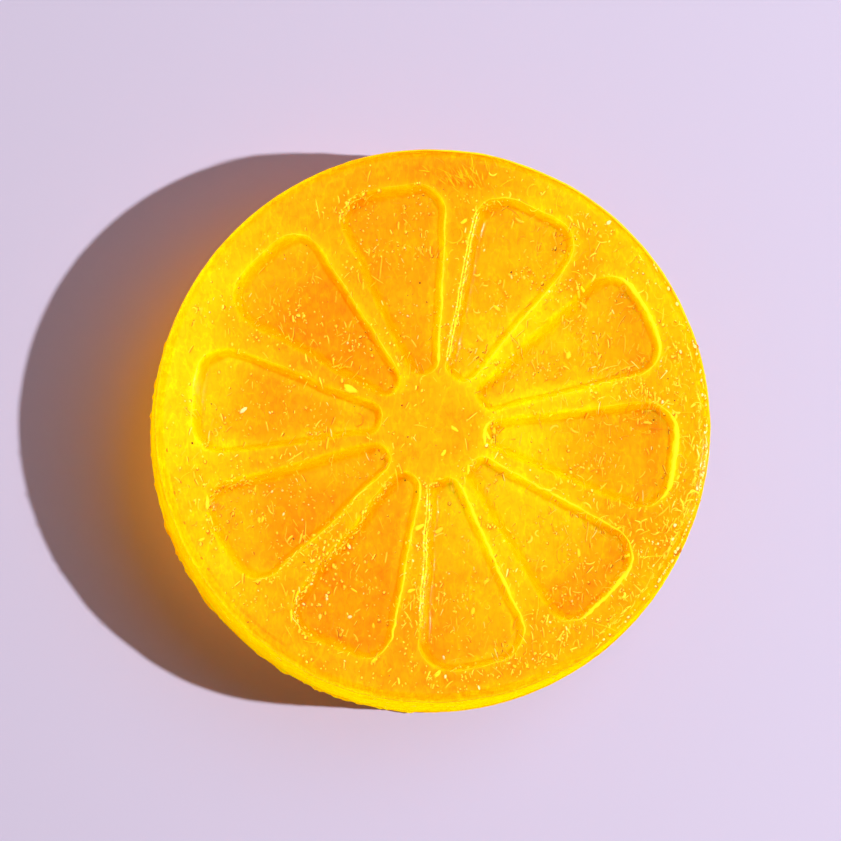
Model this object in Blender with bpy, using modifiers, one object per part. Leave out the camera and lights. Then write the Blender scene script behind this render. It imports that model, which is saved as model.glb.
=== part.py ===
"""Moulded jelly lemon slice: a thick, slightly tapered disc with ten recessed segments in its top.

The slice is one solid. Its frame is +Z up, with the origin at the middle of its flat base. All
sizes are in metres. The disc is a turned profile, and ten wedge-shaped plugs cut the segments,
which leave the raised rim, the ten membranes between them and the hub at the centre.
"""
import bpy
import bmesh
from math import asin, cos, pi, radians, sin
from mathutils import Matrix

# Disc
DIAMETER = 0.070              # widest, over the lip that the pour leaves round the base
THICKNESS = 0.016
LIP_WIDTH = 0.00020           # how far the lip stands out from the wall
LIP_HEIGHT = 0.0007
DRAFT = 0.0008                # how much the wall leans in from the lip to the top
SHOULDER_START = 0.958        # share of the top's radius where its edge begins to fall away
SHOULDER_DROP = 0.00035
EDGE_ROUND = 0.00045          # round between the shoulder and the wall
BASE_ROUND = 0.00025
TURN_STEPS = 120
ARC_STEPS = 3

# Segments
SEGMENTS = 10
SEGMENT_TURN = radians(-7.6)  # where the first one points, from +X
SEGMENT_ANGLE = radians(28.3)
SEGMENT_INNER = 0.192         # inner and outer ends, as shares of the top's radius
SEGMENT_OUTER = 0.878
INNER_CORNER = 0.0019
OUTER_CORNER = 0.0036
SEGMENT_DEPTH = 0.0024
MOUTH_ROUND = 0.00025         # how far the wall spreads at its mouth
WALL_SLOPE = 0.00020          # how far the wall leans in on its way down
FOOT_ROUND = 0.00035
PLUG_ABOVE = 0.0010           # how far a plug stands above the top
CORNER_STEPS = 4
OUTER_STEPS = 6

LEMON = (1.0, 0.58, 0.01, 1.0)
ROUGHNESS = 0.18

RADIUS = DIAMETER / 2
WALL_RADIUS = RADIUS - LIP_WIDTH
TOP_RADIUS = WALL_RADIUS - DRAFT


def clear_scene():
    for old in list(bpy.data.objects):
        bpy.data.objects.remove(old, do_unlink=True)


def new_collection(name):
    collection = bpy.data.collections.new(name)
    bpy.context.scene.collection.children.link(collection)
    return collection


def jelly_material():
    material = bpy.data.materials.new("lemon_jelly")
    material.use_nodes = True
    shader = material.node_tree.nodes["Principled BSDF"]
    shader.inputs["Base Color"].default_value = LEMON
    shader.inputs["Roughness"].default_value = ROUGHNESS
    shader.inputs["Metallic"].default_value = 0.0
    return material


def arc(centre_x, centre_y, radius, start, end, steps):
    """Points of an arc from one angle to another, both ends included."""
    angles = (start + (end - start) * i / steps for i in range(steps + 1))
    return [(centre_x + radius * cos(a), centre_y + radius * sin(a)) for a in angles]


def disc_profile():
    """Radius and height of the disc's outline, from the middle of the top to that of the base."""
    edge_z = THICKNESS - SHOULDER_DROP
    points = [(0.0, THICKNESS), (TOP_RADIUS * SHOULDER_START, THICKNESS)]
    points += arc(TOP_RADIUS - EDGE_ROUND, edge_z - EDGE_ROUND, EDGE_ROUND, pi / 2, 0, ARC_STEPS)
    points += [(WALL_RADIUS, LIP_HEIGHT + LIP_WIDTH), (RADIUS, LIP_HEIGHT)]
    points += arc(RADIUS - BASE_ROUND, BASE_ROUND, BASE_ROUND, 0, -pi / 2, ARC_STEPS)
    points.append((0.0, 0.0))
    return points


def turned_disc(name, collection):
    """The profile, turned once round Z by a Screw modifier that is then applied."""
    points = disc_profile()
    mesh = bpy.data.meshes.new(name + "_profile")
    edges = [(i, i + 1) for i in range(len(points) - 1)]
    mesh.from_pydata([(r, 0, z) for r, z in points], edges, [])
    profile = bpy.data.objects.new(name + "_profile", mesh)
    collection.objects.link(profile)
    screw = profile.modifiers.new("turn", "SCREW")
    screw.axis = "Z"
    screw.steps = TURN_STEPS
    screw.render_steps = TURN_STEPS
    screw.use_merge_vertices = True
    screw.merge_threshold = 0.00001
    solid = bpy.data.meshes.new_from_object(profile.evaluated_get(bpy.context.evaluated_depsgraph_get()))
    bpy.data.objects.remove(profile)
    solid.name = name
    disc = bpy.data.objects.new(name, solid)
    collection.objects.link(disc)
    return disc


def segment_outline():
    """Outline of one segment's mouth, along +X: a wedge with radial sides and rounded corners."""
    half = SEGMENT_ANGLE / 2
    inner, outer = TOP_RADIUS * SEGMENT_INNER, TOP_RADIUS * SEGMENT_OUTER
    outer_reach = outer - OUTER_CORNER
    outer_turn = half - asin(OUTER_CORNER / outer_reach)
    inner_reach = inner + INNER_CORNER
    inner_turn = half - asin(INNER_CORNER / inner_reach)

    end = arc(0, 0, outer, 0, outer_turn, OUTER_STEPS // 2)[:-1]
    outer_x, outer_y = outer_reach * cos(outer_turn), outer_reach * sin(outer_turn)
    end += arc(outer_x, outer_y, OUTER_CORNER, outer_turn, half + pi / 2, CORNER_STEPS)
    inner_x, inner_y = inner_reach * cos(inner_turn), inner_reach * sin(inner_turn)
    tip = arc(inner_x, inner_y, INNER_CORNER, half + pi / 2, inner_turn + pi, CORNER_STEPS)
    side = end + tip
    other_side = [(x, -y) for x, y in reversed(side) if y > 0]
    return side + other_side


def segment_plug(name, collection, turn):
    """Cutter for one segment: its outline carried up, and stepped in and down to the floor."""
    body = bmesh.new()
    mouth = body.faces.new([body.verts.new((x, y, THICKNESS + PLUG_ABOVE)) for x, y in segment_outline()])
    mouth.normal_flip()
    lid = bmesh.ops.extrude_face_region(body, geom=[mouth], use_keep_orig=True)
    floor = [face for face in lid["geom"] if isinstance(face, bmesh.types.BMFace)]
    for vert in floor[0].verts:
        vert.co.z = THICKNESS
    straight = SEGMENT_DEPTH - MOUTH_ROUND - FOOT_ROUND
    for thickness, drop in (
        (MOUTH_ROUND, MOUTH_ROUND),
        (WALL_SLOPE, straight),
        (FOOT_ROUND, FOOT_ROUND),
    ):
        bmesh.ops.inset_region(body, faces=floor, thickness=thickness, depth=0, use_even_offset=True)
        for vert in floor[0].verts:
            vert.co.z -= drop
    bmesh.ops.recalc_face_normals(body, faces=body.faces)
    mesh = bpy.data.meshes.new(name)
    body.to_mesh(mesh)
    body.free()
    mesh.transform(Matrix.Rotation(turn, 4, "Z"))
    plug = bpy.data.objects.new(name, mesh)
    plug.hide_render = True
    plug.display_type = "WIRE"
    collection.objects.link(plug)
    return plug


def build():
    clear_scene()
    parts = new_collection("lemon_slice")
    cutters = new_collection("cutters")
    disc = turned_disc("slice", parts)
    disc.data.materials.append(jelly_material())
    for i in range(SEGMENTS):
        turn = SEGMENT_TURN + 2 * pi * i / SEGMENTS
        cut = disc.modifiers.new(f"segment_{i + 1}", "BOOLEAN")
        cut.operation = "DIFFERENCE"
        cut.solver = "EXACT"
        cut.object = segment_plug(f"segment_plug_{i + 1}", cutters, turn)
    disc.data.shade_smooth()
    disc.data.set_sharp_from_angle(angle=radians(35))


build()
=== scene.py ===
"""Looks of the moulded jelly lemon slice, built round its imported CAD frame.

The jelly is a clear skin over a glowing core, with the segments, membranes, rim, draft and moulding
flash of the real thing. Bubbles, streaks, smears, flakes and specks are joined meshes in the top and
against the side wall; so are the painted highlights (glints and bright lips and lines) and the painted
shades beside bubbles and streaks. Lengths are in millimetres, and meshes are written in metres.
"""
from math import cos, pi, radians, sin

import bpy
import numpy as np
from mathutils import Matrix, Vector, noise
from mathutils.geometry import delaunay_2d_cdt


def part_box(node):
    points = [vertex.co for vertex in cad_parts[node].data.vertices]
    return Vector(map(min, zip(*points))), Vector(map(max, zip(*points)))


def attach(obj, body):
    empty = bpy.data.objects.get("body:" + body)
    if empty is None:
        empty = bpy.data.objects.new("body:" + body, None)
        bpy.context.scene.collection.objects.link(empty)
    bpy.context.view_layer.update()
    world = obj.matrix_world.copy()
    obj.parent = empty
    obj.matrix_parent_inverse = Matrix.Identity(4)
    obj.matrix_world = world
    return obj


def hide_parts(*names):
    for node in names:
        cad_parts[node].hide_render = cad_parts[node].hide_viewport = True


MM = 0.001

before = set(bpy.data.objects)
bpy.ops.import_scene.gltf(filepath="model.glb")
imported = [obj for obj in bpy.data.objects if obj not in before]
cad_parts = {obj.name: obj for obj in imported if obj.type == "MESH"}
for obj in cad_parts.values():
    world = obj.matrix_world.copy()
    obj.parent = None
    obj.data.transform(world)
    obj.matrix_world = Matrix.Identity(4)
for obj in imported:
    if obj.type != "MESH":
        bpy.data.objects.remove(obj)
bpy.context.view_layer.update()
low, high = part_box("slice")

# The disc, from the frame's box
RADIUS = (high.x - low.x) / 2 / MM
THICKNESS = (high.z - low.z) / MM
LIP_WIDTH = 0.20
DRAFT = 0.80
WALL_RADIUS = RADIUS - LIP_WIDTH
TOP_RADIUS = WALL_RADIUS - DRAFT
SHOULDER_START = 0.958 * TOP_RADIUS
EDGE_ROUND = 0.45
SHOULDER_DROP = 0.35
SHOULDER_CURVE = 3.0
EDGE_STEPS = 8
TOP_LEVEL = THICKNESS - 0.20  # leaves room for the swell of the top and for what stands on it
EDGE_LEVEL = TOP_LEVEL - SHOULDER_DROP - EDGE_ROUND  # where the edge's round meets the wall

# The segments, as in the CAD but a little shallower and nearer the middle
SEGMENTS = 10
PITCH = 2 * pi / SEGMENTS
SEGMENT_TURN = radians(-7.6)
SEGMENT_ANGLE = radians(28.3)
SEGMENT_INNER = 0.187 * TOP_RADIUS
SEGMENT_OUTER = 0.878 * TOP_RADIUS
INNER_CORNER = 1.9
OUTER_CORNER = 3.6
SEGMENT_DEPTH = 2.2
# How brightly each segment's edge shows its painted glow, the light coming out through its wall, on its
# right, at its outer end, on its left and at its tip, seen from the middle, for the segments in turn
GLOW_RIGHT = (-0.15, 0.28, 0.60, 0.68, 0.48, 0.18, 0.08, 0.26, 0.30, -0.15)
GLOW_OUTER = (1.45, 1.20, 0.45, 0.20, 0.38, 0.65, 0.00, 0.03, 0.20, 0.88)
GLOW_LEFT = (0.17, -0.05, 0.35, -0.12, -0.15, 0.05, 0.40, 0.68, 0.85, 0.55)
GLOW_TIP = (1.10, 0.30, 0.00, 0.00, 0.24, 0.50, 0.46, 0.28, 0.00, 0.28)
# How much farther out each segment ends, and how many degrees it is turned by
SEGMENT_ENDS = (-0.17, -0.18, -0.30, -0.10, -0.15, -0.30, -0.12, -0.10, 0.10, -0.13)
SEGMENT_TWIST = (0.0, 0.0, 0.0, 0.2, 0.3, 0.7, 0.8, 0.6, -0.3, -0.25)
PATTERN_SHIFT = (0.0, -0.19)  # how far off the middle the segments stand
WALL_IN = 0.70  # from the mouth's edge to the foot of the wall
WALL_OUT = 0.10  # how far the mouth's round reaches outside it
CLEAR = 0.45  # thickness of the clear skin over the core
WALL_TOP = EDGE_LEVEL - CLEAR  # heights between which the wall is rippled, and its rings there
WALL_FOOT = 0.9
WALL_RINGS = 56
WALL_BACK = 0.14  # how far the wall stands back from the solid's, to leave room for its ripples

SCATTER_DEPTH = 0.003  # how far light spreads in the jelly, in metres
SCATTER_SHARES = (1.0, 0.4, 0.1)  # of it for red, green and blue
KEY = 2.3  # the lights' powers, in watts
SOFT = 4.2
FILL = 2.05
KEY_ON_FLOOR = 15.0
SKY_ON_FLOOR = 1.6
EXPOSURE = 1.06  # how much brighter than its own colour the lights make the jelly
LIGHT_TURN = radians(-3)
LIGHT_RISE = radians(42)
TO_LIGHT = np.array([cos(LIGHT_TURN), sin(LIGHT_TURN)])

# Green share of the jelly's colour, of 255, as the eye sees it. Between the values it runs smoothly.
HUB = 187
# The rim is lighter on its left, where light carried through the jelly comes out: painted glow over the
# jelly's own tone
RIM = (198, 204, 199, 168, 180, 213, 218, 209, 181, 177, 188, 190)  # at every 30 degrees from +X
MEMBRANE_STOPS = (0.27, 0.52, 0.82)  # shares of the top's radius where each membrane is set
MEMBRANES = (
    (202, 205, 193), (217, 219, 189), (184, 185, 184), (192, 182, 184), (182, 177, 198),
    (176, 178, 202), (188, 192, 180), (187, 193, 168), (204, 212, 185), (208, 203, 172),
)
FLOOR_STOPS = (0.27, 0.60, 0.84)  # the same for each segment's floor: tip, middle and end
FLOORS = (
    (241, 195, 195), (214, 212, 198), (222, 203, 202), (198, 190, 192), (186, 172, 204),
    (202, 183, 226), (204, 182, 212), (198, 180, 184), (226, 198, 197), (224, 213, 188),
)
FLOOR_LEFT = (-3, 5, -6, -6, 0, 4, -18, 0, 13, 5)  # how much brighter each floor is on its left
WALL = 212
WALL_BANDS = (  # the wall's layers: depth below the edge, half-width, and gain
    (1.4, 1.3, -30), (6.2, 2.0, 6), (9.6, 1.0, -16), (12.2, 0.9, -24), (14.1, 0.9, 24),
)
LINE_PLACE = -0.06  # the painted bright line of light down each segment's wall: its reach and width
LINE_WIDTH = 0.28
LINE_GAIN = 0.14
BAND_GAIN = 0.09  # the painted soft yellow band of light outside the line
EDGE_GAIN = 0.10  # the painted bright line of light round the top's edge

rng = np.random.default_rng(11)


# ---- Shape helpers

def spokes_at(angles):
    return np.stack([np.cos(angles), np.sin(angles)], -1)


def arc_points(centre, radius, start, end, step, facing=1):
    """Points and outward normals along an arc, without its end point; facing -1 for a hollow one."""
    count = max(2, int(abs(end - start) * radius / step) + 1)
    angles = np.linspace(start, end, count, endpoint=False)
    spokes = spokes_at(angles)
    return centre + radius * spokes, facing * spokes


def line_points(start, end, normal, step):
    count = max(2, int(np.linalg.norm(end - start) / step) + 1)
    share = np.linspace(0, 1, count, endpoint=False)[:, None]
    return start + (end - start) * share, np.repeat(normal[None], count, 0)


def segment_outline(step):
    """Points and outward normals of one segment's mouth, pointing along +X."""
    half = SEGMENT_ANGLE / 2
    outer_reach = SEGMENT_OUTER - OUTER_CORNER
    outer_turn = half - np.arcsin(OUTER_CORNER / outer_reach)
    inner_reach = SEGMENT_INNER + INNER_CORNER
    inner_turn = half - np.arcsin(INNER_CORNER / inner_reach)
    outer_centre = outer_reach * np.array([cos(outer_turn), sin(outer_turn)])
    inner_centre = inner_reach * np.array([cos(inner_turn), sin(inner_turn)])
    flip = np.array([1, -1])
    side = np.array([-sin(half), cos(half)])
    outer_end, inner_end = outer_centre + OUTER_CORNER * side, inner_centre + INNER_CORNER * side
    runs = [
        arc_points(outer_centre * flip, OUTER_CORNER, -half - pi / 2, -outer_turn, step),
        arc_points(np.zeros(2), SEGMENT_OUTER, -outer_turn, outer_turn, step),
        arc_points(outer_centre, OUTER_CORNER, outer_turn, half + pi / 2, step),
        line_points(outer_end, inner_end, side, step),
        arc_points(inner_centre, INNER_CORNER, half + pi / 2, pi + inner_turn, step),
        arc_points(np.zeros(2), SEGMENT_INNER, inner_turn, -inner_turn, step, facing=-1),
        arc_points(inner_centre * flip, INNER_CORNER, pi - inner_turn, 3 * pi / 2 - half, step),
        line_points(inner_end * flip, outer_end * flip, side * flip, step),
    ]
    return np.concatenate([run[0] for run in runs]), np.concatenate([run[1] for run in runs])


def turned(points, angle):
    """Plan points turned about the middle; the angle is one number or one for each point."""
    c, s = np.cos(angle), np.sin(angle)
    return np.stack([points[:, 0] * c - points[:, 1] * s, points[:, 0] * s + points[:, 1] * c], 1)


def smooth(low_edge, high_edge, value):
    t = np.clip((value - low_edge) / (high_edge - low_edge), 0, 1)
    return t * t * (3 - 2 * t)


def hump(value, middle, half):
    """1 at the middle, falling off smoothly over the half-width."""
    return np.exp(-((value - middle) / half) ** 2)


def waves(points, scale, seed, octaves=2):
    """Smooth noise of about -1 to 1 at each point, with features about one scale across."""
    shift = Vector((seed * 17.3, seed * -9.1, seed * 5.7))
    return np.array([
        noise.fractal(Vector((p[0], p[1], 0)) / scale + shift, 1.0, 2.0, octaves) for p in points
    ])


def polar(points):
    return np.linalg.norm(points, axis=1), np.arctan2(points[:, 1], points[:, 0])


def share_out(points):
    """How far out each plan point lies, as a share of the top's radius."""
    return polar(points)[0] / TOP_RADIUS


def segment_of(points):
    """Angle of the middle of the segment nearest to each plan point."""
    angle = polar(points)[1] - SEGMENT_TURN
    return np.round(angle / PITCH) * PITCH + SEGMENT_TURN


EDGE_POINTS, EDGE_NORMALS = segment_outline(0.3)


def segment_reach(points):
    """How far inside a segment's mouth each plan point lies, below 0 outside, and the edge's normal."""
    middle = segment_of(points)
    local = turned(points, -middle)
    reach = np.empty(len(points))
    normal = np.empty((len(points), 2))
    for i in range(0, len(points), 4000):
        gap = EDGE_POINTS[None] - local[i:i + 4000, None]
        near = np.argmin((gap ** 2).sum(2), 1)
        normal[i:i + 4000] = EDGE_NORMALS[near]
        reach[i:i + 4000] = (gap[np.arange(len(near)), near] * EDGE_NORMALS[near]).sum(1)
    return reach, turned(normal, middle)


def around(count):
    return spokes_at(np.linspace(0, 2 * pi, count, endpoint=False))


# ---- The two bodies of jelly

def plan_points(count, step, wall_reaches):
    """Points of the top's plan inside the shoulder: its edge, rings down each wall, and a fill."""
    outline, normals = segment_outline(step * 0.7)
    rings = [
        turned(outline - reach * normals, SEGMENT_TURN + i * PITCH)
        for reach in wall_reaches for i in range(SEGMENTS)
    ]
    steps = int(SHOULDER_START / step) + 8
    grid = np.array([
        ((i + 0.5 * (j % 2)) * step, j * step * 0.866)
        for i in range(-steps, steps + 1) for j in range(-steps, steps + 1)
    ])
    grid += rng.uniform(-0.2, 0.2, grid.shape) * step
    grid = grid[np.linalg.norm(grid, axis=1) < SHOULDER_START - 0.6 * step]
    reach = segment_reach(grid)[0]
    clear = 0.5 * step
    grid = grid[(reach < wall_reaches[0] - clear) | (reach > wall_reaches[-1] + clear)]
    return np.concatenate([SHOULDER_START * around(count)] + rings + [grid])


def between(table, place, stops=(0,), share=None):
    """Looks a table up smoothly: rows by place round the slice, columns by share of the radius."""
    table = np.array(table, float).reshape(len(table), -1)
    before = np.floor(place).astype(int)
    ease = smooth(0, 1, place - before)[:, None]
    rows = table[before % len(table)] * (1 - ease) + table[(before + 1) % len(table)] * ease
    value = rows[:, 0].copy()
    for k in range(len(stops) - 1):
        value += (rows[:, k + 1] - rows[:, k]) * smooth(stops[k], stops[k + 1], share)
    return value


def by_segment(points, values):
    """Runs smoothly from each segment's value to the next one's."""
    return between(values, (polar(points)[1] - SEGMENT_TURN) / PITCH % SEGMENTS)


def uneven(points):
    """Moves plan points so that the segments' ends and turns are as uneven as in a hand-cut mould."""
    share = share_out(points)
    inside = smooth(0.958, 0.90, share)
    out = by_segment(points, SEGMENT_ENDS) * smooth(0.5, 0.85, share) * inside
    twist = np.radians(by_segment(points, SEGMENT_TWIST)) * inside
    return turned(points * (1 + out / np.maximum(share * TOP_RADIUS, 1))[:, None], twist)


def lay_top(points):
    """Places plan points on the top face, shoulder included: position, reach and edge normal."""
    reach, normal = segment_reach(points)
    radius = polar(points)[0]
    share = np.clip((radius - SHOULDER_START) / (TOP_RADIUS - EDGE_ROUND - SHOULDER_START), 0, 1)
    gentle = smooth(0.3, -0.6, normal @ TO_LIGHT)
    depth = SEGMENT_DEPTH * smooth(-WALL_OUT, WALL_IN * (1 + 0.8 * gentle), reach)
    swell = 0.05 * waves(points, 9.0, 1) + 0.025 * waves(points, 2.2, 2)
    height = TOP_LEVEL - depth + swell * (1 - 0.6 * share) - SHOULDER_DROP * share ** SHOULDER_CURVE
    waver = np.stack([waves(points, 5.5, 3), waves(points, 5.5, 4)], 1)
    waver = (0.25 * waver + PATTERN_SHIFT) * smooth(SHOULDER_START, SHOULDER_START - 4, radius)[:, None]
    return np.column_stack([uneven(points) + waver, height]), reach, normal


def outline_waver(spokes):
    """How far the disc's outline stands back from a true circle at each spoke."""
    lower_left = smooth(0.80, 1.0, spokes @ np.array([cos(radians(212)), sin(radians(212))]))
    coarse, fine = waves(spokes * RADIUS, 7.0, 14), waves(spokes * RADIUS, 1.8, 15)
    return 0.14 * np.maximum(coarse, 0) + 0.03 * fine + 0.24 * lower_left


def flash_reach(spokes):
    """How far the ragged moulding flash stands out at the base, more on the left than elsewhere."""
    ragged = smooth(0.3, -0.5, spokes[:, 0])
    fine = np.maximum(waves(spokes * RADIUS, 1.1, 6, 3), 0)
    coarse = waves(spokes * RADIUS, 5.0, 8)
    return np.clip(0.03 + 0.05 * coarse + fine * (0.08 + 0.34 * ragged), 0, 0.24)


def add_piece(name, verts, faces):
    """A smooth-shaded mesh object from points in millimetres."""
    mesh = bpy.data.meshes.new(name)
    mesh.from_pydata((verts * MM).tolist(), [], faces)
    mesh.shade_smooth()
    piece = bpy.data.objects.new(name, mesh)
    bpy.context.scene.collection.objects.link(piece)
    return piece


class Layer:
    """A closed body that starts as a triangulated top face and grows ring by ring."""

    def __init__(self, count, step, wall_reaches, drop):
        plan = plan_points(count, step, wall_reaches)
        made = delaunay_2d_cdt([Vector(p) for p in plan], [], [], 0, 1e-5)
        self.plan = np.array([tuple(v) for v in made[0]])
        self.faces = [tuple(f) for f in made[2]]
        self.count = count
        self.spokes = around(count)
        self.waver = outline_waver(self.spokes)
        top, self.reach, self.normal = lay_top(self.plan)
        self.blocks = [top - (0, 0, drop)]
        found = {tuple(np.round(p, 3)): i for i, p in enumerate(self.plan)}
        self.ring = [found[tuple(np.round(p, 3))] for p in SHOULDER_START * self.spokes]
        self.swell = self.blocks[0][self.ring, 2] + drop - TOP_LEVEL

    def add_ring(self, radius, height):
        """One more ring; the radius and the height are numbers, or one for each spoke."""
        start = sum(len(block) for block in self.blocks)
        turns = self.spokes * (np.zeros(self.count) + radius)[:, None]
        self.blocks.append(np.column_stack([turns, np.zeros(self.count) + height]))
        new = list(range(start, start + self.count))
        n = self.count
        self.faces += [
            (self.ring[k], new[k], new[(k + 1) % n], self.ring[(k + 1) % n]) for k in range(n)
        ]
        self.ring = new

    def add_edge(self, drop, shrink):
        """The rings from the shoulder out over the edge's round; gives the last one's height."""
        inner = TOP_RADIUS - EDGE_ROUND
        share = np.linspace(0, 1, EDGE_STEPS + 1)[1:]
        across = SHOULDER_START + share * (inner - SHOULDER_START)
        rings = list(zip(across, TOP_LEVEL - SHOULDER_DROP * share ** SHOULDER_CURVE))
        rings += [
            (inner + EDGE_ROUND * cos(angle), EDGE_LEVEL + EDGE_ROUND * sin(angle))
            for angle in np.linspace(radians(75), 0, 5)
        ]
        for n, (radius, height) in enumerate(rings):
            done = min(1, (n + 1) / EDGE_STEPS)
            swell = self.swell * (1 - 0.6 * done)
            self.add_ring(radius - shrink - self.waver * done, height - drop + swell)
        return height - drop

    def finish(self, name):
        self.faces.append(tuple(self.ring[::-1]))
        return add_piece(name, np.concatenate(self.blocks), self.faces)


def build_skin():
    """The clear cap: the whole top face and the edge's round, turned in under the core's own top."""
    layer = Layer(900, 0.36, (-0.28, -0.12, -0.02, 0.08, 0.17, 0.26, 0.36, 0.46, 0.57, 0.70, 0.9), 0)
    tuck = layer.add_edge(0, 0)
    for radius, height in ((-0.10, -0.16), (-0.35, -0.30), (-1.2, -0.9), (-2.5, -2.6)):
        layer.add_ring(TOP_RADIUS + radius - layer.waver, tuck + height)
    layer.add_ring(0.3 * TOP_RADIUS, tuck - 3.0)
    return layer.finish("jelly_skin")


def wall_radius(spokes, share):
    """Radius of the rippled wall at each spoke, at a share of its height from the top to the foot."""
    share = np.zeros(len(spokes)) + share
    height = WALL_TOP + share * (WALL_FOOT - WALL_TOP)
    lean = TOP_RADIUS + (WALL_RADIUS - WALL_BACK - TOP_RADIUS) * share ** 0.55
    level = WALL_RINGS * share - 1
    ripple = 0.05 * waves(spokes * RADIUS + 0.8 * level[:, None], 2.4, 7, 3)
    ridge = 0.13 * waves(spokes * 7 + 1.05 * height[:, None], 1.0, 16, 3)
    out = lean - outline_waver(spokes) * (1 - share) + (ripple + ridge - 0.06) * smooth(0, 6, level)
    return np.minimum(out, WALL_RADIUS)


def build_core():
    """The glowing body: it shows as the side wall, the flash and the base, and through the skin."""
    layer = Layer(720, 0.5, (-0.3, -0.1, 0.05, 0.18, 0.31, 0.45, 0.62, 0.85), CLEAR)
    layer.add_edge(CLEAR, 0.10)
    top_faces = len(layer.faces)
    for share in np.linspace(0, 1, WALL_RINGS + 1)[1:]:
        layer.add_ring(wall_radius(layer.spokes, share), WALL_TOP + share * (WALL_FOOT - WALL_TOP))
    flash = flash_reach(layer.spokes)
    for out, height, share in ((-0.06, 0.66, 0.7), (-0.02, 0.45, 1), (-0.03, 0.2, 1), (-0.2, 0.0, 0.8)):
        layer.add_ring(WALL_RADIUS + out + flash * share, height)
    for radius in (0.97 * RADIUS, 0.6 * RADIUS, 0.25 * RADIUS):
        layer.add_ring(radius, 0)
    core = layer.finish("jelly_core")
    paint_core(core.data, layer)
    slots = np.zeros(len(core.data.polygons), dtype=np.int32)
    slots[top_faces:] = 1
    core.data.polygons.foreach_set("material_index", slots)
    return core


def edge_light(points, normal):
    """How brightly a segment's wall shows its painted glow at each point, 0 to about 1, from which side
    it is on.
    """
    angle = polar(points)[1]
    segment = np.round((angle - SEGMENT_TURN) / PITCH).astype(int) % SEGMENTS
    facing = np.degrees(polar(turned(normal, -segment_of(points)))[1]) % 360
    sides = np.array([GLOW_OUTER, GLOW_LEFT, GLOW_TIP, GLOW_RIGHT, GLOW_OUTER])
    glow = np.empty((9, SEGMENTS))
    glow[::2] = sides
    glow[1::2] = (sides[:-1] + sides[1:]) / 2  # at the corners
    stops = (0, 45, 104, 135, 180, 225, 256, 315, 360)
    light = np.empty(len(points))
    for i in range(SEGMENTS):
        mine = segment == i
        light[mine] = np.interp(facing[mine], stops, glow[:, i])
    return light


def paint_core(mesh, layer):
    """The values that the core's material reads: base tone, reach, and how strongly the painted glow of
    the walls' and the edge's bright lines shows.
    """
    verts = np.concatenate(layer.blocks)
    rest = len(verts) - len(layer.plan)
    radius, angle = polar(verts[:, :2])
    # Painted light round the top's edge: how strongly its bright line shows at each turn, most to the
    # right and at 130 and 230 degrees, darkened where below 0
    painted_glow = 0.65 * smooth(0.75, 1, np.cos(angle + radians(5))) - 0.30
    painted_glow += 1.4 * smooth(0.6, 1, np.cos(angle - radians(230)))
    painted_glow += 1.2 * smooth(0.75, 1, np.cos(angle - radians(130)))
    top = slice(0, len(layer.plan))
    inside = smooth(0.94, 0.92, radius[top] / TOP_RADIUS)
    painted_glow[top] += (edge_light(layer.plan, layer.normal) - painted_glow[top]) * inside
    set_value(mesh, "tone", jelly_tone(verts, layer))
    set_value(mesh, "reach", np.concatenate([np.clip(layer.reach, -3, 3), np.full(rest, -3.0)]))
    set_value(mesh, "painted_glow", painted_glow)


def jelly_tone(verts, layer):
    """How yellow the core is at each point: the green share of its colour, as the eye sees it, with
    painted light and shade in it.
    """
    plan, reach = layer.plan, layer.reach
    radius, angle = polar(verts[:, :2])
    share = radius / TOP_RADIUS
    turns = (angle - SEGMENT_TURN) / PITCH
    rim = between(RIM, angle / radians(30))
    raised = between(MEMBRANES, turns - 0.5, MEMBRANE_STOPS, share)
    tone = raised + (rim - raised) * smooth(0.80, 0.90, share)
    tone += (HUB - tone) * smooth(0.22, 0.14, share)
    top = slice(0, len(plan))
    segment = np.round(turns[top])
    floor = between(FLOORS, segment, FLOOR_STOPS, share[top])
    sideways = np.clip((turns[top] - segment) * PITCH / (SEGMENT_ANGLE / 2), -1, 1)
    floor += np.array(FLOOR_LEFT)[segment.astype(int) % SEGMENTS] * sideways
    crisp = smooth(-0.6, 0.3, layer.normal @ TO_LIGHT)
    # Painted light: floors are lifted at the foot of walls that face away from the light, where shade
    # would fall
    floor *= 1 + 0.14 * crisp * hump(reach, 0.95, 0.55)
    inside = crisp * smooth(-0.1, 0.6, reach) + (1 - crisp) * smooth(-0.8, 2.8, reach)
    tone[top] += (floor - tone[top]) * inside
    # Painted light on those walls, in the inner part of the slice
    tone[top] += 12 * smooth(0.42, 0.30, share[top]) * crisp * hump(reach, 0.38, 0.32)
    wall = (verts[:, 2] < WALL_TOP) & (radius > 0.99 * TOP_RADIUS)
    depth = EDGE_LEVEL - verts[wall, 2]
    tone[wall] = WALL
    spokes = verts[wall, :2] / radius[wall, None] * RADIUS
    depth += 0.5 * waves(spokes, 6.0, 41)
    strength = np.clip(0.8 + 0.8 * waves(spokes, 9.0, 42), 0.2, 1.4)
    strength *= 0.35 + 0.65 * smooth(-0.1, 0.6, -np.cos(angle[wall]))
    # Painted light: the wall is lighter towards the lower right, where the light falls on it
    tone[wall] += 13 * smooth(-0.1, 0.8, np.cos(angle[wall] - radians(305)))
    for place, half, gain in WALL_BANDS:
        tone[wall] += gain * strength * hump(depth, place, half)
    # Painted shade: the wall is darker below about 1.2 mm, next to the floor
    tone[wall] -= 44 * smooth(1.2, 0.5, verts[wall, 2])
    return np.clip(tone, 120, 250) / 255 / EXPOSURE


def set_value(mesh, name, values):
    mesh.attributes.new(name, "FLOAT", "POINT").data.foreach_set("value", values.astype(np.float32))


# ---- What is in the jelly, and painted highlights and shades: joined meshes of many small closed bodies

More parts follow.
